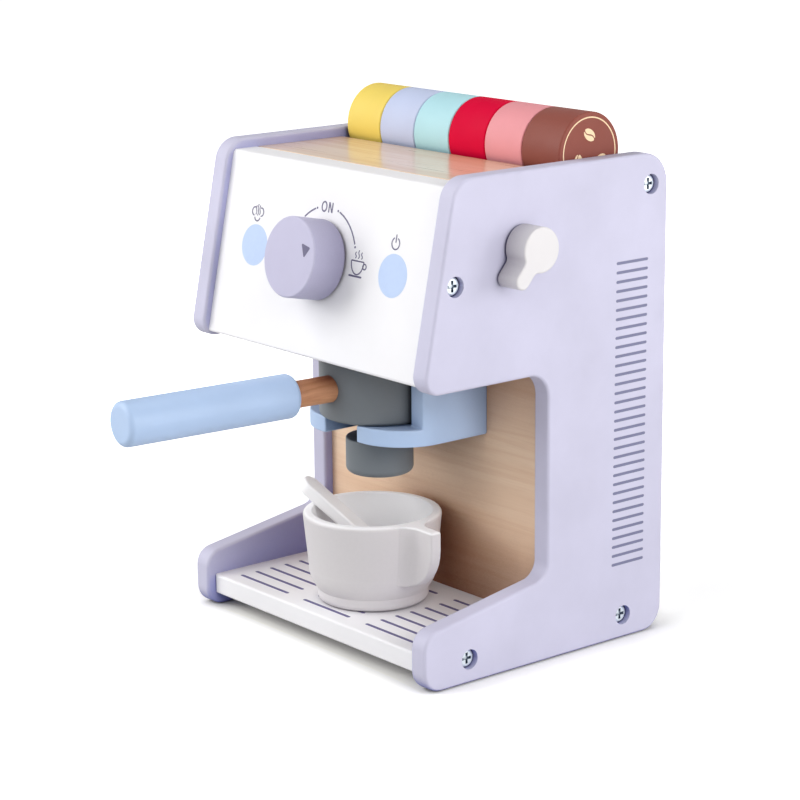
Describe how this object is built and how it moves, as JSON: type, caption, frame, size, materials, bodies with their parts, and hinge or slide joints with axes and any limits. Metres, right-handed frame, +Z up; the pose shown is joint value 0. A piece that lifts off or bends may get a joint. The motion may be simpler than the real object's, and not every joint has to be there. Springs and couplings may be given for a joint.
{
  "type": "toy coffee maker",
  "caption": "Wooden play espresso machine with a pull-out filter holder, a turning knob, a steam lever, loose coffee capsules in a top tray, a cup and a stirring stick.",
  "frame": {"origin": "under the middle of the whole model's box, on the surface the toy stands on; the side panels' middle lies 7.1 mm left of it, because the lever stands out at the right, and the panels' front edges lie 27.9 mm in front of it, because the filter holder's handle reaches out at the front", "axes": "+Z up, +Y from the front to the back, +X to the right as seen from the front"},
  "size_m": [0.1942, 0.2462, 0.2558],
  "materials": {
    "lilac_paint": "satin lilac paint on board",
    "white_paint": "satin white paint on board",
    "bare_wood": "lacquered, fine straight grain",
    "beech": "turned, bare",
    "blue_paint": "satin light blue paint",
    "grey_paint": "satin slate grey paint",
    "knob_paint": "satin lilac paint, turned",
    "lever_paint": "satin white paint",
    "cup_paint": "satin white paint, turned",
    "stick_paint": "satin white paint",
    "screw_steel": "zinc plated",
    "washer_steel": "zinc plated",
    "spacer": "matte",
    "yellow_paint": "satin yellow paint",
    "lilac_blue_paint": "satin lilac blue paint",
    "teal_paint": "satin light teal paint",
    "red_paint": "satin red paint",
    "pink_paint": "satin pink paint",
    "brown_paint": "satin brown paint, cream printed ring and beans on the end"
  },
  "bodies": {
    "machine": {"side_panel_left": "lilac_paint", "side_panel_right": "lilac_paint", "front_panel": "white_paint", "base_board": "white_paint", "inner_wall": "bare_wood", "housing_floor": "bare_wood", "top_board": "bare_wood", "capsule_tray_floor": "bare_wood", "rear_rail": "bare_wood", "back_cover": "white_paint", "board_dowels_left": "beech", "board_dowels_right": "beech", "panel_screws_left": "screw_steel", "panel_screws_right": "screw_steel", "filter_bracket": "blue_paint", "bracket_screws": "screw_steel"},
    "knob": {"control_knob": "knob_paint", "knob_axle": "beech", "knob_spacer": "spacer", "knob_retaining_washer": "washer_steel", "knob_screw": "screw_steel"},
    "lever": {"steam_lever": "lever_paint", "lever_axle": "beech", "lever_spacer": "spacer", "lever_retaining_washer": "washer_steel", "lever_screw": "screw_steel"},
    "filter_outlet": {"filter_spout": "grey_paint", "filter_neck": "grey_paint"},
    "filter_holder": {"filter_head": "grey_paint", "handle_dowel": "beech", "handle_grip": "blue_paint"},
    "first_capsule": {"capsule_1": "yellow_paint"},
    "second_capsule": {"capsule_2": "lilac_blue_paint"},
    "third_capsule": {"capsule_3": "teal_paint"},
    "fourth_capsule": {"capsule_4": "red_paint"},
    "fifth_capsule": {"capsule_5": "pink_paint"},
    "sixth_capsule": {"capsule_6": "brown_paint"},
    "coffee_cup": {"cup": "cup_paint", "cup_handle": "cup_paint"},
    "stick": {"stirring_stick": "stick_paint"}
  },
  "joints": [
    {"name": "knob_turn", "type": "hinge", "parent": "machine", "child": "knob", "pos_m": [-0.00707, -0.01415, 0.18743], "axis": [0, -0.9798, 0.2], "continuous": true},
    {"name": "lever_turn", "type": "hinge", "parent": "machine", "child": "lever", "pos_m": [0.08292, 0.03008, 0.2007], "axis": [1, 0, 0], "continuous": true},
    {"name": "filter_slide", "type": "slide", "parent": "machine", "child": "filter_outlet", "axis": [0, -1, 0], "range_m": [0, 0.1]},
    {"name": "filter_swivel", "type": "hinge", "parent": "filter_outlet", "child": "filter_holder", "pos_m": [-0.00707, 0.01963, 0.108], "axis": [0, 0, 1], "range_deg": [-60, 67]},
    {"name": "first_capsule_lift", "type": "slide", "parent": "machine", "child": "first_capsule", "axis": [0, 0, 1], "range_m": [0, 0.06]},
    {"name": "second_capsule_lift", "type": "slide", "parent": "machine", "child": "second_capsule", "axis": [0, 0, 1], "range_m": [0, 0.06]},
    {"name": "third_capsule_lift", "type": "slide", "parent": "machine", "child": "third_capsule", "axis": [0, 0, 1], "range_m": [0, 0.06]},
    {"name": "fourth_capsule_lift", "type": "slide", "parent": "machine", "child": "fourth_capsule", "axis": [0, 0, 1], "range_m": [0, 0.06]},
    {"name": "fifth_capsule_lift", "type": "slide", "parent": "machine", "child": "fifth_capsule", "axis": [0, 0, 1], "range_m": [0, 0.06]},
    {"name": "sixth_capsule_lift", "type": "slide", "parent": "machine", "child": "sixth_capsule", "axis": [0, 0, 1], "range_m": [0, 0.06]},
    {"name": "cup_slide", "type": "slide", "parent": "machine", "child": "coffee_cup", "axis": [0, -1, 0], "range_m": [0, 0.12]},
    {"name": "stick_slide", "type": "slide", "parent": "coffee_cup", "child": "stick", "axis": [-0.6216, -0.4516, 0.6401], "range_m": [0, 0.06]}
  ]
}
